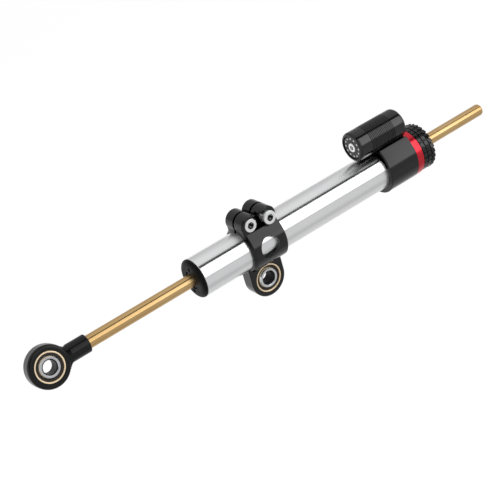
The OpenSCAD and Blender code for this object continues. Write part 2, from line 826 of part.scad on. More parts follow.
module piston() {
    color(alu_c) difference() {
        ring_x(piston_x0, piston_x1, rod_r + seat, piston_r);
        ring_x(piston_mid - piston_ring_w / 2 - run, piston_mid + piston_ring_w / 2 + run,
            ring_floor_r, piston_r + over);
        bar_x(piston_x0 - over, clip_xs[0] + clip_t + seat, clip_hole_r);
        bar_x(clip_xs[1] - seat, piston_x1 + over, clip_hole_r);
        for (a = [45, 135, 225, 315])
            translate([piston_x0 - over, bleed_r * cos(a), axis_z + bleed_r * sin(a)])
                rotate([0, 90, 0]) cylinder(d = bleed_d, h = piston_len + 2 * over, $fn = 24);
    }
}

module piston_ring() {
    color(ptfe_c)
        ring_x(piston_mid - piston_ring_w / 2, piston_mid + piston_ring_w / 2,
            tube_ir - run - piston_ring_t, tube_ir - run);
}

module piston_circlips() {
    gap = 2.4;
    color(steel_c)
        for (x = clip_xs)
            difference() {
                ring_x(x, x + clip_t, clip_floor_r, clip_r);
                translate([x - over, -gap / 2, axis_z - clip_r - over])
                    cube([clip_t + 2 * over, gap, clip_r + over]);
            }
}

// A flat web joins the eye to the shank. Its blend is an arc that touches the round eye.
web_half_share = 0.65;
web_tall_share = 0.68;
web_h = web_half_share * shank_r;
web_z = web_tall_share * shank_r;
blend_x = sqrt(pow(rod_eye_r + neck_blend, 2) - pow(web_z + neck_blend, 2));
blend_a = atan2(-(web_z + neck_blend), -blend_x);
blend_start = (web_z + neck_blend) * rod_eye_r / (rod_eye_r + neck_blend);

module rod_end_body() {
    h = rod_eye_t / 2;
    s = rod_eye_shoulder;
    f = rod_eye_round;
    hole_gap = 0.5;
    hole_x = shank_len - rod_thread - hole_gap;
    blend = concat([[race_r, blend_start]], arc(blend_x, web_z + neck_blend, neck_blend, blend_a, -90, 10));
    color(black_c) at_rod_eye() difference() {
        union() {
            turned_y(concat(
                [[-h, race_r - over]],
                oval(s - h, rod_eye_r - f, s, f, 180, 90),
                oval(h - s, rod_eye_r - f, s, f, 90, 0),
                [[h, race_r - over]]
            ));
            translate([0, web_h, 0]) rotate([90, 0, 0]) linear_extrude(2 * web_h)
                polygon(concat(blend, [for (i = [len(blend) - 1:-1:0]) [blend[i][0], -blend[i][1]]]));
            rotate([0, 90, 0]) rotate_extrude() polygon([
                [0, rod_eye_r - f],
                [h - edge, rod_eye_r - f],
                [shank_r, rod_eye_r + f],
                [shank_r, shank_len - edge],
                [shank_r - edge, shank_len],
                [0, shank_len]
            ]);
        }
        bar_y(-h - over, h + over, race_r + seat);
        translate([hole_x, 0, 0]) rotate([0, 90, 0]) cylinder(r = rod_r + seat, h = shank_len);
    }
}

module rod_end_race() {
    color(bronze_c) at_rod_eye() race();
}

module rod_end_liner() {
    color(liner_c) at_rod_eye() liner();
}

module rod_end_ball() {
    color(steel_c) at_rod_eye() ball();
}

// A box on the origin along Z whose four upright edges are bevelled
module bevelled_post(x, y0, y1, z0, z1, c) {
    translate([0, 0, z0]) linear_extrude(z1 - z0) polygon([
        [-x + c, y0], [x - c, y0], [x, y0 + c], [x, y1 - c],
        [x - c, y1], [-x + c, y1], [-x, y1 - c], [-x, y0 + c]
    ]);
}

// A round bar along Y with bevelled ends
module bevelled_bar_y(y0, y1, r, c) {
    turned_y([[y0, 0], [y0, r - c], [y0 + c, r], [y1 - c, r], [y1, r - c], [y1, 0]]);
}

// A bar along X from points of Y and of height over the damper's axis
module prism_x(x0, x1, points) {
    translate([x0, 0, axis_z]) rotate([90, 0, 90]) linear_extrude(x1 - x0) polygon(points);
}

// The flat leaves the ring along its slope and runs up into the ears. Both it and the hollow blend behind the ears
// start a little under the faces that they join.
bite = 0.1;
flat_r = clamp_r - bite;
flat_y = ear_front_y + over;
flat_z = (flat_r + flat_y * cos(flat_slope)) / sin(flat_slope);
hollow_y = ear_back_y - bite + ear_blend;
hollow_z = sqrt(pow(flat_r + ear_blend, 2) - pow(hollow_y, 2));
pocket_play = 0.25;
hex_share = 0.8;
pocket_r = screw_head_d / 2 + pocket_play;

module clamp_body() {
    h = lug_t / 2;
    c = clamp_chamfer;
    rim_r = clamp_r - rim_drop;
    color(black_c) difference() {
        union() {
            turned_x([[clamp_x0, tube_r - over], [clamp_x0, rim_r], [clamp_x0 + rim_bevel, clamp_r],
                [clamp_x1 - c, clamp_r], [clamp_x1, clamp_r - c], [clamp_x1, tube_r - over]]);
            translate([ring_shift, 0, 0])
                bevelled_post(clamp_w / 2 - edge, ear_front_y, ear_back_y, axis_z, axis_z + screw_z, c);
            for (x = screw_xs)
                translate([x, 0, axis_z + screw_z]) bevelled_bar_y(ear_front_y, ear_back_y, ear_r, c);
            prism_x(clamp_x0 + rim_bevel, clamp_x1 - c, [
                [0, 0],
                [-flat_r * cos(flat_slope), flat_r * sin(flat_slope)],
                [flat_y, flat_z],
                [0, flat_z]
            ]);
            prism_x(clamp_x0 + rim_bevel, clamp_x1 - c, concat(
                [[0, 0]],
                arc(hollow_y, hollow_z, ear_blend, 180 + atan2(hollow_z, hollow_y), 180),
                [[0, hollow_z]]
            ));
            bevelled_bar_y(-h, h, lug_r, c);
            bevelled_post(lug_r, -h, h, 0, axis_z - tube_r + clamp_wall / 2, c);
        }
        bar_x(clamp_x0 - 2 * over, clamp_x1 + 2 * over, tube_r + run);
        translate([clamp_x0 - over, split_y - split_w / 2, axis_z])
            cube([clamp_w + 2 * over, split_w, screw_z + ear_r + over]);
        translate([ring_shift, 0, axis_z + window_rise]) bar_y(-clamp_r - over, 0, window_d / 2);
        for (x = screw_xs)
            translate([x, 0, axis_z + screw_z]) {
                bar_y(ear_front_y - over, ear_back_y + over, screw_d / 2 + seat);
                bar_y(ear_front_y - over, screw_seat_y, pocket_r);
            }
        translate([screw_xs[0], ear_front_y - over, axis_z + screw_z - pocket_r])
            cube([screw_gap, screw_seat_y - ear_front_y + over, 2 * pocket_r]);
        bar_y(-h - over, h + over, race_r + seat);
    }
}

// A cap screw that points along +Y, with its head's underside on the seat
module cap_screw(out) {
    r = screw_head_d / 2;
    y0 = screw_seat_y - seat - out;
    c = 0.3;
    translate([0, y0, 0]) difference() {
        turned_y([[-screw_head_t, 0], [-screw_head_t, r - c], [c - screw_head_t, r], [0, r],
            [0, screw_d / 2], [screw_tip_y - screw_seat_y, screw_d / 2], [screw_tip_y - screw_seat_y, 0]]);
        translate([0, -screw_head_t - over, 0]) rotate([-90, 0, 0])
            hex_socket(hex_share * screw_d, over + screw_head_t / 2);
    }
}

module clamp_screws() {
    color(steel_c) {
        translate([screw_xs[0], 0, axis_z + screw_z]) cap_screw(0);
        translate([screw_xs[1], 0, axis_z + screw_z]) cap_screw(screw_out);
    }
}

module frame_race() {
    color(bronze_c) race();
}

module frame_liner() {
    color(liner_c) liner();
}

module frame_ball() {
    color(steel_c) ball();
}

cylinder_tube();
front_gland();
front_gland_oring();
front_wiper();
front_rod_bush();
front_rod_seal();
rear_guide();
rear_guide_oring();
rear_rod_bush();
rear_head();
index_ring();
detent_ball();
detent_spring();
reservoir_body();
reservoir_cap();
reservoir_cap_oring();
oil_transfer_bush();
fill_screw();
floating_piston();
floating_piston_oring();
adjuster_knob();
knob_grub_screw();
metering_sleeve();
sleeve_orings();
rear_rod_seal();
damper_rod();
piston();
piston_ring();
piston_circlips();
rod_end_body();
rod_end_race();
rod_end_liner();
rod_end_ball();
clamp_body();
clamp_screws();
frame_race();
frame_liner();
frame_ball();
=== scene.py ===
import json
import math

import bmesh
import bpy
from mathutils import Matrix, Vector


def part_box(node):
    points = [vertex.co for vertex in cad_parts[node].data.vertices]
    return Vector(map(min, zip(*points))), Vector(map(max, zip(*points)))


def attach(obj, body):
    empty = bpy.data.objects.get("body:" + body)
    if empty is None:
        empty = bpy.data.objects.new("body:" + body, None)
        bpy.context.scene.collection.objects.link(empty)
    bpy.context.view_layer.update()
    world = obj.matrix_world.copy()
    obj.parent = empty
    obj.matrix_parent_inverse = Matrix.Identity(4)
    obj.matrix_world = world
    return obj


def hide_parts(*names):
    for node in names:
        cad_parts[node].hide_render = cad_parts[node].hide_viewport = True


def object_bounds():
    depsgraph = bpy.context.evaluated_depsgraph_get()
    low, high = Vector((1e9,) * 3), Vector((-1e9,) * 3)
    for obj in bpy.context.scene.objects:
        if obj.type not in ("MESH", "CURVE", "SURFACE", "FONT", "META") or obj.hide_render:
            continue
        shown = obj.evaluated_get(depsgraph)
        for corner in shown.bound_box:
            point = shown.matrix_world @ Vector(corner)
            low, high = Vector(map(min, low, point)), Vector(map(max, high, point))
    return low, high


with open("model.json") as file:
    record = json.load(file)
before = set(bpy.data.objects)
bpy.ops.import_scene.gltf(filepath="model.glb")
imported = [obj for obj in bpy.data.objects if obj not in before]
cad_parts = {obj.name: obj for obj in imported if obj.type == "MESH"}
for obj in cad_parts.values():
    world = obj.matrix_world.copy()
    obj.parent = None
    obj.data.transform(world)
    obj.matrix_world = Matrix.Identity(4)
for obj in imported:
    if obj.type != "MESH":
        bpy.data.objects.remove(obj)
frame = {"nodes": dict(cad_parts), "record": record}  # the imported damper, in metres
cadLow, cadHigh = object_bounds()
nodes = frame["nodes"]
mm = 0.001
axisZ = sum(v.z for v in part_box("cylinder_tube")) / 2  # height of the damper's axis
print("frame loaded:", len(nodes), "CAD nodes")


# Helpers for materials and meshes

def linear(hexColour):  # sRGB hex to linear
    parts = [int(hexColour[i:i + 2], 16) / 255 for i in (1, 3, 5)]
    return [v / 12.92 if v <= 0.04045 else ((v + 0.055) / 1.055) ** 2.4 for v in parts] + [1.0]


def addNode(tree, kind, settings=None, links=None):  # one node with its settings and its links
    node = tree.nodes.new(kind)
    for name, value in (settings or {}).items():
        if name == "stops":
            ramp = node.color_ramp
            while len(ramp.elements) < len(value):
                ramp.elements.new(1.0)
            for element, (place, colour) in zip(ramp.elements, value):
                element.position, element.color = place, colour
        elif isinstance(name, str) and hasattr(node, name):
            setattr(node, name, value)
        else:
            node.inputs[name].default_value = value
    for name, socket in (links or {}).items():
        tree.links.new(socket, node.inputs[name])
    return node


def newMaterial(name):
    material = bpy.data.materials.new(name)
    material.use_nodes = True
    material.node_tree.nodes.clear()
    return material, material.node_tree


def newPiece(name, mesh):
    piece = bpy.data.objects.new(name, mesh)
    bpy.context.scene.collection.objects.link(piece)
    return piece


def grey(value):
    return [value, value, value, 1.0]


# Finishes. Sizes are in millimetres, and a grain gives a mark's size along X, Y and Z.
# Real grinding, buffing and blasting marks are finer: they are drawn coarser here so that they show.

pattern = {"range": (0.3, 0.7), "lineDetail": 3.0, "cloudDetail": 2.0,  # range: the used part of a noise
           "depth": 0.05, "edgeRays": 4}


def surfaceFinish(name, look):  # a coated, dyed or bare surface with fine marks from its making
    material, tree = newMaterial(name)
    place = addNode(tree, "ShaderNodeTexCoord")
    grain = [1 / (size * mm) for size in look["grain"]]
    marks = addNode(tree, "ShaderNodeMapping", {"Scale": grain}, {"Vector": place.outputs["Object"]})
    lines = addNode(tree, "ShaderNodeTexNoise", {"Scale": 1.0, "Detail": pattern["lineDetail"]},
                    {"Vector": marks.outputs["Vector"]})
    cloud = addNode(tree, "ShaderNodeTexNoise",
                    {"Scale": 1 / (look["cloud"] * mm), "Detail": pattern["cloudDetail"]},
                    {"Vector": place.outputs["Object"]})
    stops = list(zip(pattern["range"], map(linear, look["colours"])))
    tint = addNode(tree, "ShaderNodeValToRGB", {"stops": stops}, {"Fac": cloud.outputs["Fac"]})
    rough = addNode(tree, "ShaderNodeMapRange", {
        "From Min": pattern["range"][0], "From Max": pattern["range"][1],
        "To Min": look["roughness"][0], "To Max": look["roughness"][1]}, {"Value": lines.outputs["Fac"]})
    edge = addNode(tree, "ShaderNodeBevel", {"samples": pattern["edgeRays"], "Radius": look["edge"] * mm})
    bump = addNode(tree, "ShaderNodeBump", {"Strength": look["bump"], "Distance": pattern["depth"] * mm},
                   {"Height": lines.outputs["Fac"], "Normal": edge.outputs["Normal"]})
    shader = addNode(tree, "ShaderNodeBsdfPrincipled", look["sockets"],
                     {"Base Color": tint.outputs["Color"], "Roughness": rough.outputs["Result"],
                      "Normal": bump.outputs["Normal"]})
    if "Anisotropic" in look["sockets"]:  # marks that run round the damper's axis
        lay = addNode(tree, "ShaderNodeTangent", {"direction_type": "RADIAL", "axis": "X"})
        tree.links.new(lay.outputs["Tangent"], shader.inputs["Tangent"])
    addNode(tree, "ShaderNodeOutputMaterial", {}, {"Surface": shader.outputs["BSDF"]})
    return material


finishes = {
    # Drawn aluminium tube, buffed: a soft mirror, spread by faint rings from the buff
    "polished_aluminium": surfaceFinish("buffedAluminium", {
        "colours": ["#EFF0F1", "#F5F5F6"], "roughness": (0.21, 0.23), "grain": (0.3, 400, 400), "cloud": 40,
        "bump": 0.02, "edge": 0.15,
        "sockets": {"Metallic": 1.0, "Anisotropic": 1.0, "Anisotropic Rotation": 0.25}}),
    # Machined aluminium, fine blasted, dyed black and sealed: a clear gloss, no colour of its own
    "black_anodised": surfaceFinish("blackAnodisedAluminium", {
        "colours": ["#060607", "#0A0A0B"], "roughness": (0.12, 0.17), "grain": (0.35, 0.35, 0.35), "cloud": 12,
        "bump": 0.05, "edge": 0.3, "sockets": {"Metallic": 0.0, "Specular IOR Level": 0.43}}),
    # Turned aluminium dyed red and sealed: deep colour under a clear gloss
    "red_anodised": surfaceFinish("redAnodisedAluminium", {
        "colours": ["#CB1F2F", "#D42738"], "roughness": (0.22, 0.3), "grain": (0.3, 400, 400), "cloud": 10,
        "bump": 0.1, "edge": 0.2, "sockets": {"Metallic": 1.0, "Coat Weight": 0.4, "Coat Roughness": 0.12}}),
    # Ground steel rod with a hard gold nitride skin: soft warm mirror with fine grinding rings
    "gold_rod": surfaceFinish("goldNitridedSteel", {
        "colours": ["#CDA972", "#D6B481"], "roughness": (0.2, 0.23), "grain": (0.3, 400, 400), "cloud": 25,
        "bump": 0.04, "edge": 0.2,
        "sockets": {"Metallic": 1.0, "Anisotropic": 0.95, "Anisotropic Rotation": 0.25}}),
    # Machined bearing bronze: satin pale gold with turning marks
    "bronze": surfaceFinish("turnedBronze", {
        "colours": ["#F6DFB8", "#FBE7C6"], "roughness": (0.42, 0.52), "grain": (4, 0.3, 4), "cloud": 6,
        "bump": 0.04, "edge": 0.2, "sockets": {"Metallic": 1.0}}),
    # Hardened bright steel: near mirror with small blurs
    "bright_steel": surfaceFinish("brightSteel", {
        "colours": ["#C6C8CB", "#D2D4D6"], "roughness": (0.12, 0.22), "grain": (0.6, 0.6, 0.6), "cloud": 5,
        "bump": 0.03, "edge": 0.15, "sockets": {"Metallic": 1.0}}),
    # Bare turned aluminium of the inner pieces and the ticks: satin with tool rings
    "turned_aluminium": surfaceFinish("turnedAluminium", {
        "colours": ["#D2D3D5", "#DDDEDF"], "roughness": (0.28, 0.4), "grain": (0.25, 20, 20), "cloud": 8,
        "bump": 0.12, "edge": 0.2, "sockets": {"Metallic": 1.0}}),
    # Moulded nitrile rubber: dull black with a fine skin
    "seal_rubber": surfaceFinish("nitrileRubber", {
        "colours": ["#151515", "#1C1C1C"], "roughness": (0.5, 0.65), "grain": (0.2, 0.2, 0.2), "cloud": 3,
        "bump": 0.1, "edge": 0.1, "sockets": {"Metallic": 0.0}}),
    # Filled fluoropolymer ring: waxy off-white
    "guide_ring": surfaceFinish("filledFluoropolymer", {
        "colours": ["#D8D2C0", "#E2DDCD"], "roughness": (0.4, 0.5), "grain": (0.3, 0.3, 0.3), "cloud": 4,
        "bump": 0.05, "edge": 0.1, "sockets": {"Metallic": 0.0}}),
    # Woven bearing liner bonded in the race: dull dark brown, its threads 0.4 mm apart
    "bearing_liner": surfaceFinish("wovenBearingLiner", {
        "colours": ["#120A07", "#1C100B"], "roughness": (0.45, 0.6), "grain": (0.4, 0.4, 0.4), "cloud": 2,
        "bump": 0.2, "edge": 0.1, "sockets": {"Metallic": 0.0}}),
}


bored = {"rim": 0.5, "blend": 0.2, "edge": 0.15, "bump": 0.01}  # rim: how far past a ball's bore the painted shade and the dull finish reach


def boreShadeFinish(name, look):  # bright metal, dull inside its bores or sockets and darkened there with painted shade
    material, tree = newMaterial(name)
    place = addNode(tree, "ShaderNodeTexCoord")
    nearest = None
    for point, axis in look["bores"]:
        offset = addNode(tree, "ShaderNodeVectorMath", {"operation": "SUBTRACT", 1: point},
                         {0: place.outputs["Object"]})
        cross = addNode(tree, "ShaderNodeVectorMath", {"operation": "CROSS_PRODUCT", 1: axis},
                        {0: offset.outputs["Vector"]})
        radius = addNode(tree, "ShaderNodeVectorMath", {"operation": "LENGTH"}, {0: cross.outputs["Vector"]})
        radius = radius.outputs["Value"]
        if nearest:
            radius = addNode(tree, "ShaderNodeMath", {"operation": "MINIMUM"},
                             {0: nearest, 1: radius}).outputs[0]
        nearest = radius
    share = addNode(tree, "ShaderNodeMapRange",
                    {"From Min": look["radius"] * mm, "From Max": (look["radius"] + bored["blend"]) * mm},
                    {"Value": nearest})
    share = share.outputs["Result"]
    grit = addNode(tree, "ShaderNodeTexNoise",
                   {"Scale": 1 / (look["grain"] * mm), "Detail": pattern["cloudDetail"]},
                   {"Vector": place.outputs["Object"]})
    # painted shade: the colour turns dark inside the bores and sockets
    tint = addNode(tree, "ShaderNodeValToRGB",
                   {"stops": [(0.0, linear(look["dark"])), (1.0, linear(look["bright"]))]}, {"Fac": share})
    rough = addNode(tree, "ShaderNodeMapRange",
                    {"To Min": look["roughness"][0], "To Max": look["roughness"][1]}, {"Value": share})
    edge = addNode(tree, "ShaderNodeBevel", {"samples": pattern["edgeRays"], "Radius": bored["edge"] * mm})
    bump = addNode(tree, "ShaderNodeBump", {"Strength": bored["bump"], "Distance": pattern["depth"] * mm},
                   {"Height": grit.outputs["Fac"], "Normal": edge.outputs["Normal"]})
    shader = addNode(tree, "ShaderNodeBsdfPrincipled", {"Metallic": 1.0},
                     {"Base Color": tint.outputs["Color"], "Roughness": rough.outputs["Result"],
                      "Normal": bump.outputs["Normal"]})
    addNode(tree, "ShaderNodeOutputMaterial", {}, {"Surface": shader.outputs["BSDF"]})
    return material


def ballFinish(name, mount):  # polished bearing steel with an unpolished bore, darkened there with painted shade
    return boreShadeFinish(name, {
        "bores": [(mount["pos_m"], mount["axis"])], "radius": mount["dims"]["r_mm"] + bored["rim"],
        "bright": "#D2D4D7", "dark": "#2B2B2D", "roughness": (0.5, 0.12), "grain": 0.6})


def screwFinish(name, bores, radius):  # pale nickel plate; its socket is duller and darkened with painted shade
    return boreShadeFinish(name, {
        "bores": bores, "radius": radius,
        "bright": "#F6F6F7", "dark": "#4A4A4C", "roughness": (0.24, 0.46), "grain": 0.5})


grooves = {"start": 9.1, "end": 28.3, "depth": 0.28, "lip": 0.12,  # from the body's end, and below its skin
           "colours": ["#060607", "#0A0A0B"], "cloud": 12, "specular": 0.55,
           "land": 0.13, "floor": 0.6, "dullAt": 0.5}  # two roughnesses, and the share at which all is dull


def groovedFinish(name, box):  # glossy black lands between grooves that keep a dull floor from the cutter
    low, high = box
    radius = (high.y - low.y) / 2
    material, tree = newMaterial(name)
    place = addNode(tree, "ShaderNodeTexCoord").outputs["Object"]
    start = (low.x, 0, high.z - radius)  # the reservoir's axis at its end
    offset = addNode(tree, "ShaderNodeVectorMath", {"operation": "SUBTRACT", 1: start}, {0: place})
    axes = addNode(tree, "ShaderNodeSeparateXYZ", {}, {0: offset.outputs["Vector"]})
    crosswise = addNode(tree, "ShaderNodeCombineXYZ", {}, {"Y": axes.outputs["Y"], "Z": axes.outputs["Z"]})
    reach = addNode(tree, "ShaderNodeVectorMath", {"operation": "LENGTH"}, {0: crosswise.outputs["Vector"]})
    sunk = addNode(tree, "ShaderNodeMapRange", {
        "From Min": radius - grooves["depth"] * mm, "From Max": radius - grooves["lip"] * mm,
        "To Min": 1.0, "To Max": 0.0}, {"Value": reach.outputs["Value"]})
    stretch = addNode(tree, "ShaderNodeMath", {
        "operation": "COMPARE", 1: (grooves["start"] + grooves["end"]) / 2 * mm,
        2: (grooves["end"] - grooves["start"]) / 2 * mm}, {0: axes.outputs["X"]})
    dull = addNode(tree, "ShaderNodeMath", {"operation": "MULTIPLY"},
                   {0: sunk.outputs["Result"], 1: stretch.outputs[0]})
    cloud = addNode(tree, "ShaderNodeTexNoise",
                    {"Scale": 1 / (grooves["cloud"] * mm), "Detail": pattern["cloudDetail"]}, {"Vector": place})
    stops = list(zip(pattern["range"], map(linear, grooves["colours"])))
    tint = addNode(tree, "ShaderNodeValToRGB", {"stops": stops}, {"Fac": cloud.outputs["Fac"]})
    rough = addNode(tree, "ShaderNodeMapRange",
                    {"From Max": grooves["dullAt"], "To Min": grooves["land"], "To Max": grooves["floor"]},
                    {"Value": dull.outputs[0]})
    shader = addNode(tree, "ShaderNodeBsdfPrincipled",
                     {"Metallic": 0.0, "Specular IOR Level": grooves["specular"]},
                     {"Base Color": tint.outputs["Color"], "Roughness": rough.outputs["Result"]})
    addNode(tree, "ShaderNodeOutputMaterial", {}, {"Surface": shader.outputs["BSDF"]})
    return material


def dress(node, finish):
    nodes[node].data.materials.clear()
    nodes[node].data.materials.append(finish)


mounts = {mount["name"]: mount for mount in frame["record"]["mounts"]}
for row in frame["record"]["subparts"]:
    dress(row["node"], finishes[row["material_slot"]])
dress("front_gland", surfaceFinish("shadeDulledBlackAnodise", {  # the gland's skin: a copy of the black finish with its gloss lowered as painted shade
    "colours": ["#060607", "#0B0B0C"], "roughness": (0.42, 0.5), "grain": (0.35, 0.35, 0.35), "cloud": 8,
    "bump": 0.05, "edge": 0.3, "sockets": {"Metallic": 0.0, "Specular IOR Level": 0.12}}))
dress("reservoir_body", groovedFinish("grooveCutBlackAnodise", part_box("reservoir_body")))
dress("rod_end_body", surfaceFinish("handledBlackAnodise", {  # the rod end's skin, a little worn
    "colours": ["#060607", "#0B0B0C"], "roughness": (0.2, 0.27), "grain": (0.35, 0.35, 0.35), "cloud": 8,
    "bump": 0.05, "edge": 0.3, "sockets": {"Metallic": 0.0, "Specular IOR Level": 0.3}}))
dress("rod_end_ball", ballFinish("polishedRodBall", mounts["rod_eye"]))
dress("frame_ball", ballFinish("polishedFrameBall", mounts["frame_eye"]))

socketRadius = {"clamp": 2.0, "fill": 1.2}  # how far the painted shade reaches in the key sockets
screwLow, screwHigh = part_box("clamp_screws")
screwRadius = (screwHigh.z - screwLow.z) / 2
screwZ = (screwLow.z + screwHigh.z) / 2
screwXs = (screwLow.x + screwRadius, screwHigh.x - screwRadius)
screwAxes = [((x, 0, screwZ), (0, 1, 0)) for x in screwXs]
fillLow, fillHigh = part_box("fill_screw")
fillAxis = ((0, 0, (fillLow.z + fillHigh.z) / 2), (1, 0, 0))
dress("clamp_screws", screwFinish("nickelPlatedClampScrews", screwAxes, socketRadius["clamp"]))
dress("fill_screw", screwFinish("nickelPlatedFillScrew", [fillAxis], socketRadius["fill"]))
print("finishes set:", len(finishes))


# Rows of rounded blocks round an axis: the knob's grip, the cap's ticks and the screw heads' knurl

blockLevel = 2  # times that a block is smoothed
plainRing = {"Rows": 1, "Row Pitch": 0.0, "Keep Clear": (0.0, 0.0, 0.0), "Clear Radius": 0.0,
             "Turn": (0.0, 0.0, 0.0)}  # one full ring round X


def makeBlockGroup():
    tree = bpy.data.node_groups.new("blocksRoundAxis", "GeometryNodeTree")
    kinds = {"Columns": "Int", "Rows": "Int", "Radius": "Float", "Row Pitch": "Float", "Block": "Vector",
             "Crease": "Float", "Keep Clear": "Vector", "Clear Radius": "Float", "Turn": "Vector",
             "Centre": "Vector", "Finish": "Material"}
    for name, kind in kinds.items():
        tree.interface.new_socket(name, in_out="INPUT", socket_type="NodeSocket" + kind)
    tree.interface.new_socket("Geometry", in_out="OUTPUT", socket_type="NodeSocketGeometry")
    given = addNode(tree, "NodeGroupInput").outputs

    index = addNode(tree, "GeometryNodeInputIndex").outputs[0]
    # Half a step is added so that no block falls on the edge between two rows
    half = addNode(tree, "ShaderNodeMath", {"operation": "ADD", 1: 0.5}, {0: index}).outputs[0]
    rounds = addNode(tree, "ShaderNodeMath", {"operation": "DIVIDE"},
                     {0: half, 1: given["Columns"]}).outputs[0]
    row = addNode(tree, "ShaderNodeMath", {"operation": "FLOOR"}, {0: rounds}).outputs[0]
    before = addNode(tree, "ShaderNodeMath", {"operation": "MULTIPLY"},
                     {0: row, 1: given["Columns"]}).outputs[0]
    column = addNode(tree, "ShaderNodeMath", {"operation": "SUBTRACT"}, {0: index, 1: before}).outputs[0]
    share = addNode(tree, "ShaderNodeMath", {"operation": "DIVIDE"},
                    {0: column, 1: given["Columns"]}).outputs[0]
    angle = addNode(tree, "ShaderNodeMath", {"operation": "MULTIPLY", 1: 2 * math.pi}, {0: share}).outputs[0]
    across = addNode(tree, "ShaderNodeMath", {"operation": "COSINE"}, {0: angle}).outputs[0]
    across = addNode(tree, "ShaderNodeMath", {"operation": "MULTIPLY"},
                     {0: across, 1: given["Radius"]}).outputs[0]
    up = addNode(tree, "ShaderNodeMath", {"operation": "SINE"}, {0: angle}).outputs[0]
    up = addNode(tree, "ShaderNodeMath", {"operation": "MULTIPLY"}, {0: up, 1: given["Radius"]}).outputs[0]
    along = addNode(tree, "ShaderNodeMath", {"operation": "MULTIPLY"},
                    {0: row, 1: given["Row Pitch"]}).outputs[0]
    place = addNode(tree, "ShaderNodeCombineXYZ", {}, {"X": along, "Y": across, "Z": up}).outputs[0]
    count = addNode(tree, "ShaderNodeMath", {"operation": "MULTIPLY"},
                    {0: given["Columns"], 1: given["Rows"]}).outputs[0]
    points = addNode(tree, "GeometryNodePoints", {}, {"Count": count, "Position": place})
    gap = addNode(tree, "ShaderNodeVectorMath", {"operation": "DISTANCE"}, {0: place, 1: given["Keep Clear"]})
    inGap = addNode(tree, "FunctionNodeCompare", {"operation": "LESS_THAN"},
                    {"A": gap.outputs["Value"], "B": given["Clear Radius"]})
    kept = addNode(tree, "GeometryNodeDeleteGeometry", {"domain": "POINT"},
                   {"Geometry": points.outputs[0], "Selection": inGap.outputs[0]})
    lean = addNode(tree, "ShaderNodeMath", {"operation": "SUBTRACT", 1: math.pi / 2}, {0: angle})
    lean = addNode(tree, "ShaderNodeCombineXYZ", {}, {"X": lean.outputs[0]})
    lean = addNode(tree, "FunctionNodeEulerToRotation", {}, {0: lean.outputs[0]})
    block = addNode(tree, "GeometryNodeMeshCube", {}, {"Size": given["Block"]})
    block = addNode(tree, "GeometryNodeSubdivisionSurface", {"Level": blockLevel},
                    {"Mesh": block.outputs["Mesh"], "Edge Crease": given["Crease"]})
    blocks = addNode(tree, "GeometryNodeInstanceOnPoints", {}, {
        "Points": kept.outputs[0], "Instance": block.outputs[0], "Rotation": lean.outputs[0]})
    turn = addNode(tree, "FunctionNodeEulerToRotation", {}, {0: given["Turn"]})
    moved = addNode(tree, "GeometryNodeTransform", {}, {
        "Geometry": blocks.outputs[0], "Translation": given["Centre"], "Rotation": turn.outputs[0]})
    real = addNode(tree, "GeometryNodeRealizeInstances", {}, {"Geometry": moved.outputs[0]})
    dressed = addNode(tree, "GeometryNodeSetMaterial", {},
                      {"Geometry": real.outputs[0], "Material": given["Finish"]})
    addNode(tree, "NodeGroupOutput", {}, {"Geometry": dressed.outputs[0]})
    return tree


blockGroup = makeBlockGroup()


def blocksRound(name, look):  # a plain mesh piece from the block group
    piece = newPiece(name, bpy.data.meshes.new(name))
    rings = piece.modifiers.new("blocks", "NODES")
    rings.node_group = blockGroup
    for item in blockGroup.interface.items_tree:
        if item.in_out == "INPUT":
            rings[item.identifier] = (plainRing | look)[item.name]
    mesh = bpy.data.meshes.new_from_object(piece.evaluated_get(bpy.context.evaluated_depsgraph_get()))
    piece.modifiers.remove(rings)
    piece.data = mesh
    mesh.shade_smooth()
    return piece


def boreAt(node, x, near):  # a CAD node's smallest radius near a station
    return min(math.hypot(v.co.y, v.co.z - axisZ) for v in nodes[node].data.vertices if abs(v.co.x - x) < near)


# The adjuster knob: a turned core with a grip of rounded blocks in three rows

knob = {"rows": 3, "columns": 26, "depth": 0.95, "blockLength": 3.0, "blockWidth": 2.9, "blockHeight": 1.7,
        "crease": 0.8, "endGap": 0.1, "skinGap": 0.02, "rim": 0.5, "sides": 168,
        "boreNear": 0.2, "grubPlay": 0.05, "grubClear": 2.3, "grubSides": 32, "sharpAngle": 35}


def knobCore(low, high, radius):
    x0, x1 = low.x, high.x
    core = radius - knob["depth"] * mm
    rim = knob["rim"] * mm
    bore0, bore1 = (boreAt("adjuster_knob", x, knob["boreNear"] * mm) for x in (x0, x1))
    profile = [(x0, bore0), (x0, core - rim), (x0 + rim, core), (x1 - rim, core), (x1, core - rim), (x1, bore1)]
    work = bmesh.new()
    turns = [2 * math.pi * i / knob["sides"] for i in range(knob["sides"])]
    rings = [[work.verts.new((x, r * math.cos(a), axisZ + r * math.sin(a))) for a in turns]
             for x, r in profile]
    for near, far in zip(rings, rings[1:] + rings[:1]):
        for i in range(len(turns)):
            work.faces.new((near[i - 1], near[i], far[i], far[i - 1]))
    bmesh.ops.recalc_face_normals(work, faces=work.faces)
    mesh = bpy.data.meshes.new("knobCore")
    work.to_mesh(mesh)
    work.free()
    return newPiece("knobCore", mesh)


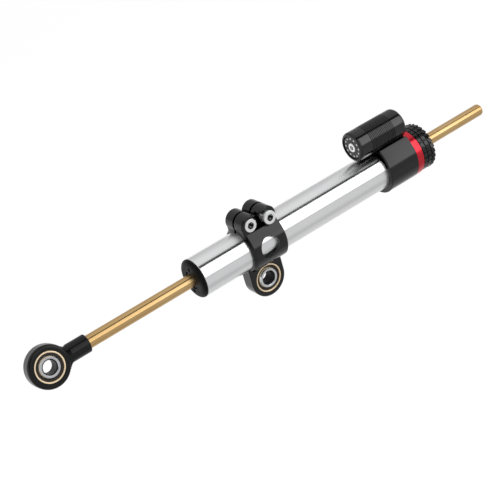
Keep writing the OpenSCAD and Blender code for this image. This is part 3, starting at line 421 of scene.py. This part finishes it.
def drillForGrub(core, radius):  # the hole over the grub screw
    low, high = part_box("knob_grub_screw")
    middle = (low + high) / 2
    size = (high.x - low.x) / 2 + knob["grubPlay"] * mm
    work = bmesh.new()
    mouth = Vector((middle.x, math.copysign(radius, middle.y), middle.z))
    place = Matrix.Translation(mouth) @ Matrix.Rotation(math.pi / 2, 4, "X")
    bmesh.ops.create_cone(work, cap_ends=True, segments=knob["grubSides"], radius1=size, radius2=size,
                          depth=2 * (radius - abs(middle.y)), matrix=place)
    mesh = bpy.data.meshes.new("grubDrill")
    work.to_mesh(mesh)
    work.free()
    drill = newPiece("grubDrill", mesh)
    cut = core.modifiers.new("grubHole", "BOOLEAN")
    cut.object = drill
    cut.solver = "EXACT"
    drilled = bpy.data.meshes.new_from_object(core.evaluated_get(bpy.context.evaluated_depsgraph_get()))
    core.modifiers.remove(cut)
    core.data = drilled
    bpy.data.objects.remove(drill)
    return middle


def makeKnob():
    low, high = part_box("adjuster_knob")
    radius = (high.z - low.z) / 2
    finish = finishes["black_anodised"]
    core = knobCore(low, high, radius)
    grub = drillForGrub(core, radius)
    length, width, height = (knob[key] * mm for key in ("blockLength", "blockWidth", "blockHeight"))
    firstX = low.x + length / 2 + knob["endGap"] * mm
    lastX = high.x - length / 2 - knob["endGap"] * mm
    grip = blocksRound("adjusterKnob", {
        "Columns": knob["columns"], "Rows": knob["rows"], "Radius": radius - height / 2 - knob["skinGap"] * mm,
        "Row Pitch": (lastX - firstX) / (knob["rows"] - 1), "Block": (length, width, height),
        "Crease": knob["crease"],
        "Keep Clear": (grub.x - firstX, math.copysign(radius, grub.y), grub.z - axisZ),
        "Clear Radius": knob["grubClear"] * mm, "Centre": (firstX, 0.0, axisZ), "Finish": finish})
    work = bmesh.new()
    work.from_mesh(core.data)
    work.from_mesh(grip.data)
    for face in work.faces:  # core and grip share one finish
        face.material_index = 0
    work.to_mesh(grip.data)
    work.free()
    bpy.data.objects.remove(core)
    grip.data.materials.clear()
    grip.data.materials.append(finish)
    grip.data.shade_smooth()
    grip.data.set_sharp_from_angle(angle=math.radians(knob["sharpAngle"]))
    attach(grip, "adjuster")
    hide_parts("adjuster_knob")


# Plain ticks of bare metal on the reservoir's black end cap

ticks = {"count": 12, "radius": 6.0, "wide": 1.3, "tall": 1.0, "proud": 0.05, "thick": 0.2, "crease": 0.9}


def makeTicks():
    low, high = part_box("reservoir_cap")
    marks = blocksRound("capTicks", {
        "Columns": ticks["count"], "Radius": ticks["radius"] * mm, "Crease": ticks["crease"],
        "Block": (ticks["thick"] * mm, ticks["wide"] * mm, ticks["tall"] * mm),
        "Centre": (low.x + (ticks["thick"] / 2 - ticks["proud"]) * mm, 0.0, (low.z + high.z) / 2),
        "Finish": finishes["turned_aluminium"]})
    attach(marks, "barrel")


# Knurled sides of the two clamp screw heads

knurl = {"count": 44, "headHeight": 5.0, "backedOut": 3.2,  # the right screw stands this much further out
         "length": 3.6, "width": 0.36, "height": 0.3, "sink": 0.08, "crease": 0.5}


def makeKnurls():
    seats = {"leftScrewKnurl": (screwXs[0], knurl["backedOut"]), "rightScrewKnurl": (screwXs[1], 0.0)}
    for name, (x, inset) in seats.items():
        y = screwLow.y + (inset + knurl["headHeight"] / 2) * mm
        ribs = blocksRound(name, {
            "Columns": knurl["count"], "Radius": screwRadius - knurl["sink"] * mm, "Crease": knurl["crease"],
            "Block": (knurl["length"] * mm, knurl["width"] * mm, knurl["height"] * mm),
            "Turn": (0.0, 0.0, math.pi / 2), "Centre": (x, y, screwZ), "Finish": finishes["bright_steel"]})
        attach(ribs, "clamp")


# Bowed flanks that lead from the round rear head up to the reservoir, one on each side

flank = {"leave": 20.0, "bow": 28.0, "share": 0.92,  # degrees, degrees, part of the way to the reservoir
         "edge": 0.9, "sink": 4.0, "steps": 8, "edgeSteps": 4, "sharpAngle": 35}


def makeFlanks():
    headLow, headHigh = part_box("rear_head")
    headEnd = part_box("index_ring")[0].x
    tankLow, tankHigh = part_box("reservoir_body")
    radius = headHigh.y
    tankRadius = (tankHigh.y - tankLow.y) / 2
    tankUp = tankHigh.z - tankRadius - axisZ
    a = math.radians(flank["leave"])
    leave = Vector((-radius * math.cos(a), radius * math.sin(a)))  # where it leaves the round, as Y and Z
    mean = a + math.radians(flank["bow"]) / 2
    rise = Vector((math.sin(mean), math.cos(mean)))
    toTank = leave - Vector((0, tankUp))
    along = -toTank.dot(rise)
    reach = along - math.sqrt(along ** 2 - toTank.length_squared + tankRadius ** 2)
    stride = reach * flank["share"] / flank["steps"]
    curve, ways = [leave], [a]
    for i in range(flank["steps"]):
        tilt = a + math.radians(flank["bow"]) * (i + 0.5) / flank["steps"]
        curve.append(curve[-1] + stride * Vector((math.sin(tilt), math.cos(tilt))))
        ways.append(a + math.radians(flank["bow"]) * (i + 1) / flank["steps"])
    inward = [Vector((math.cos(way), -math.sin(way))) for way in ways]
    sections = []  # place along X, and how far the skin is drawn in there
    edge = flank["edge"] * mm
    for i in range(flank["edgeSteps"] + 1):
        turn = math.pi / 2 * i / flank["edgeSteps"]
        sections.append((headLow.x + edge * (1 - math.cos(turn)), edge * (1 - math.sin(turn))))
    sections.append((headEnd, 0.0))
    sink = flank["sink"] * mm
    work = bmesh.new()
    for side in (1, -1):
        ends = []
        for x, drawn in sections:
            points = [p + way * drawn for p, way in zip(curve, inward)]
            points += [curve[-1] + inward[-1] * sink, curve[0] + inward[0] * sink]
            ends.append([work.verts.new((x, side * p.x, axisZ + p.y)) for p in points])
        for near, far in zip(ends, ends[1:]):
            for i in range(len(near)):
                work.faces.new((near[i - 1], near[i], far[i], far[i - 1]))
        work.faces.new(ends[0])
        work.faces.new(ends[-1])
    bmesh.ops.recalc_face_normals(work, faces=work.faces)
    mesh = bpy.data.meshes.new("headFlanks")
    work.to_mesh(mesh)
    work.free()
    mesh.materials.append(finishes["black_anodised"])
    mesh.shade_smooth()
    mesh.set_sharp_from_angle(angle=math.radians(flank["sharpAngle"]))
    flanks = newPiece("headFlanks", mesh)
    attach(flanks, "barrel")


# The rod with its free end rounded over

rodEnd = {"round": 2.0, "steps": 6, "merge": 0.001, "sharpAngle": 30}


def makeRod():
    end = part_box("damper_rod")[1].x
    size = rodEnd["round"] * mm
    start = end - size
    merge = rodEnd["merge"] * mm
    work = bmesh.new()
    work.from_mesh(nodes["damper_rod"].data)
    bmesh.ops.remove_doubles(work, verts=work.verts, dist=merge)
    radius = max(math.hypot(v.co.y, v.co.z - axisZ) for v in work.verts if v.co.x > start)
    for i in range(rodEnd["steps"]):
        x = start + size * math.sin(math.pi / 2 * i / rodEnd["steps"])
        bmesh.ops.bisect_plane(work, geom=work.verts[:] + work.edges[:] + work.faces[:], dist=merge,
                               plane_co=(x, 0, 0), plane_no=(1, 0, 0))
    for vert in work.verts:
        past = min(vert.co.x - start, size)
        away = math.hypot(vert.co.y, vert.co.z - axisZ)
        if past > 0 and away > 0:
            keep = min(1.0, (radius - size + math.sqrt(size ** 2 - past ** 2)) / away)
            vert.co.y *= keep
            vert.co.z = axisZ + (vert.co.z - axisZ) * keep
    mesh = bpy.data.meshes.new("roundedRod")  # bare shape, without the CAD mesh's stored normals
    work.verts.index_update()
    mesh.from_pydata([v.co[:] for v in work.verts], [], [[v.index for v in f.verts] for f in work.faces])
    work.free()
    mesh.materials.append(finishes["gold_rod"])
    mesh.shade_smooth()
    mesh.set_sharp_from_angle(angle=math.radians(rodEnd["sharpAngle"]))
    rod = newPiece("roundedRod", mesh)
    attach(rod, "rod")
    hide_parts("damper_rod")


makeRod()
makeKnob()
makeTicks()
makeKnurls()
makeFlanks()
print("rod, knob grip, cap ticks, screw knurls and head flanks made")


# The studio: a camera, a pale floor, a soft lamp and the room that the metal mirrors

camera = {"place": (-0.30663, -0.5532, 0.35954), "azimuth": -28.6316, "elevation": 28.2504, "roll": -16.3787,
          "lens": 86.4, "sensor": 36}
softbox = {"angle": 34, "distance": 0.9, "drift": 25, "width": 0.98, "length": 1.5, "level": 2.4,
           "fade": (0.36, 0.58), "ends": (0.42, 1.0),  # along the lamp: where it changes, and its two levels
           "lowEdge": 0.14, "lowLevel": 0.25}
room = {"radius": 1.3, "length": 5.0, "step": 3, "levels": [  # brightness by angle: front 0, top 90, back 180
    (-180, 1.0), (-118, 1.0), (-108, 0.7), (-90, 0.7), (-70, 0.64), (-55, 0.5), (-42, 0.62), (-30, 0.68),
    (-17, 0.66), (-4, 0.66), (66, 0.02), (76, 0.02), (78, 0.7), (90, 0.8), (110, 0.8), (136, 0.66),
    (158, 0.57), (168, 0.55), (176, 1.0)]}
ground = {"drop": 0.13, "reach": 4.0, "seen": 0.88, "matt": 0.25}
air = {"lit": 0.4, "seen": 1.0}  # light on the object, and white to the viewer


def makeCamera():
    a, e, r = (math.radians(camera[key]) for key in ("azimuth", "elevation", "roll"))
    back = Vector((math.sin(a) * math.cos(e), -math.cos(a) * math.cos(e), math.sin(e)))
    level = Vector((math.cos(a), math.sin(a), 0))
    right = math.cos(r) * level + math.sin(r) * back.cross(level)
    up = back.cross(right)
    lens = bpy.data.cameras.new("photoCamera")
    lens.lens = camera["lens"]
    lens.sensor_width = camera["sensor"]
    body = newPiece("photoCamera", lens)
    turn = Matrix((right, up, back)).transposed().to_4x4()
    body.matrix_world = Matrix.Translation(camera["place"]) @ turn
    bpy.context.scene.camera = body


def makeSoftbox():
    lamp = bpy.data.lights.new("frontSoftbox", "AREA")
    lamp.shape = "RECTANGLE"
    lamp.size, lamp.size_y = softbox["length"], softbox["width"]
    lamp.energy = softbox["level"] * math.pi * softbox["length"] * softbox["width"]
    a = math.radians(softbox["angle"])
    out = Vector((0, -math.cos(a), math.sin(a)))
    along = Vector((1, 0, 0))
    drift = softbox["distance"] * math.tan(math.radians(softbox["drift"]))  # mirrored rays run on along X
    centre = Vector((drift, 0, axisZ)) + out * softbox["distance"]
    lamp.use_nodes = True
    tree = lamp.node_tree
    tree.nodes.clear()
    place = addNode(tree, "ShaderNodeNewGeometry")
    share = addNode(tree, "ShaderNodeSeparateXYZ", {}, {0: place.outputs["Parametric"]})
    fade = addNode(tree, "ShaderNodeMapRange", {
        "From Min": softbox["fade"][0], "From Max": softbox["fade"][1],
        "To Min": softbox["ends"][0], "To Max": softbox["ends"][1]}, {"Value": share.outputs["X"]})
    soft = addNode(tree, "ShaderNodeMapRange",
                   {"From Max": softbox["lowEdge"], "To Min": softbox["lowLevel"]},
                   {"Value": share.outputs["Y"]})
    both = addNode(tree, "ShaderNodeMath", {"operation": "MULTIPLY"},
                   {0: fade.outputs["Result"], 1: soft.outputs["Result"]})
    glow = addNode(tree, "ShaderNodeEmission", {}, {"Strength": both.outputs[0]})
    addNode(tree, "ShaderNodeOutputLight", {}, {"Surface": glow.outputs["Emission"]})
    box = newPiece("frontSoftbox", lamp)
    turn = Matrix((along, out.cross(along), out)).transposed().to_4x4()
    box.matrix_world = Matrix.Translation(centre) @ turn


def makeRoom():  # a curved wall that only mirrored rays see
    steps = 360 // room["step"]
    turns = [math.radians(-180 + room["step"] * i) for i in range(steps + 1)]
    half = room["length"] / 2
    verts = [(x, -math.cos(a) * room["radius"], math.sin(a) * room["radius"])
             for a in turns for x in (-half, half)]
    mesh = bpy.data.meshes.new("mirroredRoom")
    mesh.from_pydata(verts, [], [(2 * i, 2 * i + 1, 2 * i + 3, 2 * i + 2) for i in range(steps)])
    material, tree = newMaterial("mirroredRoom")
    place = addNode(tree, "ShaderNodeTexCoord")
    axes = addNode(tree, "ShaderNodeSeparateXYZ", {}, {0: place.outputs["Object"]})
    front = addNode(tree, "ShaderNodeMath", {"operation": "MULTIPLY", 1: -1.0}, {0: axes.outputs["Y"]})
    angle = addNode(tree, "ShaderNodeMath", {"operation": "ARCTAN2"},
                    {0: axes.outputs["Z"], 1: front.outputs[0]})
    share = addNode(tree, "ShaderNodeMapRange", {"From Min": turns[0], "From Max": turns[-1]},
                    {"Value": angle.outputs[0]})
    stops = [((turn + 180) / 360, grey(level)) for turn, level in room["levels"]]
    shade = addNode(tree, "ShaderNodeValToRGB", {"stops": stops}, {"Fac": share.outputs["Result"]})
    glow = addNode(tree, "ShaderNodeEmission", {"Strength": 1.0}, {"Color": shade.outputs["Color"]})
    addNode(tree, "ShaderNodeOutputMaterial", {}, {"Surface": glow.outputs["Emission"]})
    mesh.materials.append(material)
    wall = newPiece("mirroredRoom", mesh)
    wall.location = (0, 0, axisZ)
    wall.visible_camera = wall.visible_diffuse = wall.visible_shadow = False


def whiteToViewer(tree, low, high):  # a level that is higher for what the camera, mirrors and glass see
    path = addNode(tree, "ShaderNodeLightPath")
    seen = addNode(tree, "ShaderNodeMath", {"operation": "MAXIMUM"},
                   {0: path.outputs["Is Camera Ray"], 1: path.outputs["Is Glossy Ray"]})
    seen = addNode(tree, "ShaderNodeMath", {"operation": "MAXIMUM"},
                   {0: seen.outputs[0], 1: path.outputs["Is Transmission Ray"]})
    level = addNode(tree, "ShaderNodeMapRange", {"To Min": low, "To Max": high}, {"Value": seen.outputs[0]})
    return level.outputs["Result"]


def makeWorld():
    world = bpy.data.worlds.new("paleRoom")
    world.use_nodes = True
    tree = world.node_tree
    tree.nodes.clear()
    level = whiteToViewer(tree, air["lit"], air["seen"])
    sky = addNode(tree, "ShaderNodeBackground", {"Color": grey(1.0)}, {"Strength": level})
    addNode(tree, "ShaderNodeOutputWorld", {}, {"Surface": sky.outputs["Background"]})
    bpy.context.scene.world = world


def makeFloor():
    z = cadLow.z - ground["drop"]
    far = ground["reach"]
    mesh = bpy.data.meshes.new("floor")
    mesh.from_pydata([(-far, -far, z), (far, -far, z), (far, far, z), (-far, far, z)], [], [(0, 1, 2, 3)])
    material, tree = newMaterial("paleFloor")
    level = whiteToViewer(tree, 0.0, ground["seen"])
    glow = addNode(tree, "ShaderNodeEmission", {"Color": grey(1.0)}, {"Strength": level})
    matt = addNode(tree, "ShaderNodeBsdfDiffuse", {"Color": grey(ground["matt"])})
    both = addNode(tree, "ShaderNodeAddShader", {}, {0: glow.outputs["Emission"], 1: matt.outputs["BSDF"]})
    addNode(tree, "ShaderNodeOutputMaterial", {}, {"Surface": both.outputs["Shader"]})
    mesh.materials.append(material)
    floor = newPiece("floor", mesh)
    floor.visible_glossy = False  # the mirrored room goes on below it


makeCamera()
makeWorld()
makeFloor()
makeSoftbox()
makeRoom()
bpy.context.scene.view_settings.view_transform = "Standard"
print("studio ready")
